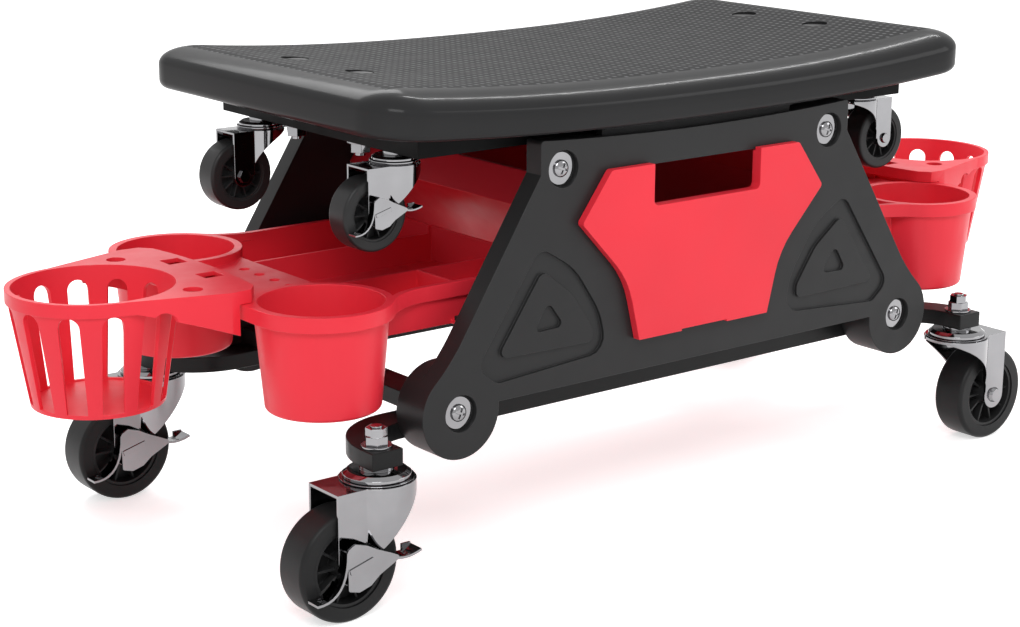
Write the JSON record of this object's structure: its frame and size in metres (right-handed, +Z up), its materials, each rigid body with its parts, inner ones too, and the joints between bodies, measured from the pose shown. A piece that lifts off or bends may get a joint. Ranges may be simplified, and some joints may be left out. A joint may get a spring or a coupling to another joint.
{
  "type": "creeper seat",
  "caption": "Low rolling workshop seat: a curved padded seat with casters of its own over a wheeled frame with drawer, side trays, cups and hook-on baskets.",
  "frame": {"origin": "on the floor, under the middle of the seat", "axes": "+Z up, X along the seat's length from basket to basket, -Y towards the side the drawer opens to"},
  "size_m": [0.9202, 0.3493, 0.3356],
  "materials": {
    "seat_cover": "satin black cover, glossy rolled rim, light dots",
    "seat_board": "matte black",
    "black_plastic": "fine-grained satin black moulding",
    "black_strip": "matte black",
    "black_steel": "satin black powder coat",
    "red_plastic": "semi-gloss coral red moulding",
    "chrome_hardware": "bright plated steel",
    "wheel_plastic": "satin dark moulding",
    "small_wheel": "satin dark moulding",
    "tyre_rubber": "smooth black tread"
  },
  "bodies": {
    "frame": {"near_side_panel": "black_plastic", "far_side_panel": "black_plastic", "panel_screws": "chrome_hardware", "panel_washers": "chrome_hardware", "near_rail": "black_steel", "far_rail": "black_steel", "left_cross_tube": "black_steel", "right_cross_tube": "black_steel", "caster_stems": "chrome_hardware", "stem_nuts": "chrome_hardware", "stem_washers": "chrome_hardware", "rest_strips": "black_strip", "drawer_runners": "black_plastic", "left_tray_runners": "black_plastic", "right_tray_runners": "black_plastic"},
    "drawer_body": {"drawer": "red_plastic"},
    "left_tray_body": {"left_tray": "red_plastic"},
    "right_tray_body": {"right_tray": "red_plastic"},
    "left_basket_body": {"left_basket": "red_plastic"},
    "right_basket_body": {"right_basket": "red_plastic"},
    "seat": {"seat_pad": "seat_cover", "seat_board": "seat_board", "seat_bolts": "chrome_hardware", "seat_bolt_caps": "black_plastic", "seat_nuts": "chrome_hardware", "seat_washers": "chrome_hardware", "seat_caster_stems": "chrome_hardware"},
    "near_left_swivel": {"near_left_fork": "chrome_hardware", "near_left_axle": "chrome_hardware"},
    "near_left_roller": {"near_left_wheel": "wheel_plastic", "near_left_tyre": "tyre_rubber"},
    "near_left_pedal": {"near_left_brake": "chrome_hardware"},
    "far_left_swivel": {"far_left_fork": "chrome_hardware", "far_left_axle": "chrome_hardware"},
    "far_left_roller": {"far_left_wheel": "wheel_plastic", "far_left_tyre": "tyre_rubber"},
    "far_left_pedal": {"far_left_brake": "chrome_hardware"},
    "near_right_swivel": {"near_right_fork": "chrome_hardware", "near_right_axle": "chrome_hardware"},
    "near_right_roller": {"near_right_wheel": "wheel_plastic", "near_right_tyre": "tyre_rubber"},
    "far_right_swivel": {"far_right_fork": "chrome_hardware", "far_right_axle": "chrome_hardware"},
    "far_right_roller": {"far_right_wheel": "wheel_plastic", "far_right_tyre": "tyre_rubber"},
    "seat_near_left_swivel": {"seat_near_left_fork": "chrome_hardware", "seat_near_left_axle": "chrome_hardware"},
    "seat_near_left_roller": {"seat_near_left_wheel": "small_wheel"},
    "seat_near_left_pedal": {"seat_near_left_brake": "chrome_hardware"},
    "seat_far_left_swivel": {"seat_far_left_fork": "chrome_hardware", "seat_far_left_axle": "chrome_hardware"},
    "seat_far_left_roller": {"seat_far_left_wheel": "small_wheel"},
    "seat_near_right_swivel": {"seat_near_right_fork": "chrome_hardware", "seat_near_right_axle": "chrome_hardware"},
    "seat_near_right_roller": {"seat_near_right_wheel": "small_wheel"},
    "seat_far_right_swivel": {"seat_far_right_fork": "chrome_hardware", "seat_far_right_axle": "chrome_hardware"},
    "seat_far_right_roller": {"seat_far_right_wheel": "small_wheel"},
    "seat_far_right_pedal": {"seat_far_right_brake": "chrome_hardware"}
  },
  "joints": [
    {"name": "drawer_slide", "type": "slide", "parent": "frame", "child": "drawer_body", "axis": [0, -1, 0], "range_m": [0, 0.16]},
    {"name": "left_tray_slide", "type": "slide", "parent": "frame", "child": "left_tray_body", "axis": [-1, 0, 0], "range_m": [0, 0.06]},
    {"name": "right_tray_slide", "type": "slide", "parent": "frame", "child": "right_tray_body", "axis": [1, 0, 0], "range_m": [0, 0.06]},
    {"name": "left_basket_lift", "type": "slide", "parent": "left_tray_body", "child": "left_basket_body", "axis": [0, 0, 1], "range_m": [0, 0.06]},
    {"name": "right_basket_lift", "type": "slide", "parent": "right_tray_body", "child": "right_basket_body", "axis": [0, 0, 1], "range_m": [0, 0.06]},
    {"name": "seat_lift", "type": "slide", "parent": "frame", "child": "seat", "axis": [0, 0, 1], "range_m": [0, 0.1]},
    {"name": "near_left_turn", "type": "hinge", "parent": "frame", "child": "near_left_swivel", "pos_m": [-0.2835, -0.1486, 0], "axis": [0, 0, 1], "continuous": true},
    {"name": "near_left_roll", "type": "hinge", "parent": "near_left_swivel", "child": "near_left_roller", "pos_m": [-0.314, -0.1486, 0.0375], "axis": [0, 1, 0], "continuous": true},
    {"name": "near_left_brake_tip", "type": "hinge", "parent": "near_left_swivel", "child": "near_left_pedal", "pos_m": [-0.314, -0.1486, 0.0375], "axis": [0, 1, 0], "range_deg": [0, 12]},
    {"name": "far_left_turn", "type": "hinge", "parent": "frame", "child": "far_left_swivel", "pos_m": [-0.2835, 0.1486, 0], "axis": [0, 0, 1], "continuous": true},
    {"name": "far_left_roll", "type": "hinge", "parent": "far_left_swivel", "child": "far_left_roller", "pos_m": [-0.314, 0.1486, 0.0375], "axis": [0, 1, 0], "continuous": true},
    {"name": "far_left_brake_tip", "type": "hinge", "parent": "far_left_swivel", "child": "far_left_pedal", "pos_m": [-0.314, 0.1486, 0.0375], "axis": [0, 1, 0], "range_deg": [0, 12]},
    {"name": "near_right_turn", "type": "hinge", "parent": "frame", "child": "near_right_swivel", "pos_m": [0.2835, -0.1486, 0], "axis": [0, 0, 1], "continuous": true},
    {"name": "near_right_roll", "type": "hinge", "parent": "near_right_swivel", "child": "near_right_roller", "pos_m": [0.314, -0.1486, 0.0375], "axis": [0, 1, 0], "continuous": true},
    {"name": "far_right_turn", "type": "hinge", "parent": "frame", "child": "far_right_swivel", "pos_m": [0.2835, 0.1486, 0], "axis": [0, 0, 1], "continuous": true},
    {"name": "far_right_roll", "type": "hinge", "parent": "far_right_swivel", "child": "far_right_roller", "pos_m": [0.314, 0.1486, 0.0375], "axis": [0, 1, 0], "continuous": true},
    {"name": "seat_near_left_turn", "type": "hinge", "parent": "seat", "child": "seat_near_left_swivel", "pos_m": [-0.222, -0.084, 0.2217], "axis": [0, 0, 1], "continuous": true},
    {"name": "seat_near_left_roll", "type": "hinge", "parent": "seat_near_left_swivel", "child": "seat_near_left_roller", "pos_m": [-0.244, -0.084, 0.2467], "axis": [0, 1, 0], "continuous": true},
    {"name": "seat_near_left_brake_tip", "type": "hinge", "parent": "seat_near_left_swivel", "child": "seat_near_left_pedal", "pos_m": [-0.244, -0.084, 0.2467], "axis": [0, 1, 0], "range_deg": [0, 12]},
    {"name": "seat_far_left_turn", "type": "hinge", "parent": "seat", "child": "seat_far_left_swivel", "pos_m": [-0.222, 0.084, 0.2217], "axis": [0, 0, 1], "continuous": true},
    {"name": "seat_far_left_roll", "type": "hinge", "parent": "seat_far_left_swivel", "child": "seat_far_left_roller", "pos_m": [-0.244, 0.084, 0.2467], "axis": [0, 1, 0], "continuous": true},
    {"name": "seat_near_right_turn", "type": "hinge", "parent": "seat", "child": "seat_near_right_swivel", "pos_m": [0.222, -0.084, 0.2217], "axis": [0, 0, 1], "continuous": true},
    {"name": "seat_near_right_roll", "type": "hinge", "parent": "seat_near_right_swivel", "child": "seat_near_right_roller", "pos_m": [0.244, -0.084, 0.2467], "axis": [0, 1, 0], "continuous": true},
    {"name": "seat_far_right_turn", "type": "hinge", "parent": "seat", "child": "seat_far_right_swivel", "pos_m": [0.222, 0.084, 0.2217], "axis": [0, 0, 1], "continuous": true},
    {"name": "seat_far_right_roll", "type": "hinge", "parent": "seat_far_right_swivel", "child": "seat_far_right_roller", "pos_m": [0.244, 0.084, 0.2467], "axis": [0, 1, 0], "continuous": true},
    {"name": "seat_far_right_brake_tip", "type": "hinge", "parent": "seat_far_right_swivel", "child": "seat_far_right_pedal", "pos_m": [0.244, 0.084, 0.2467], "axis": [0, -1, 0], "range_deg": [0, 12]}
  ]
}
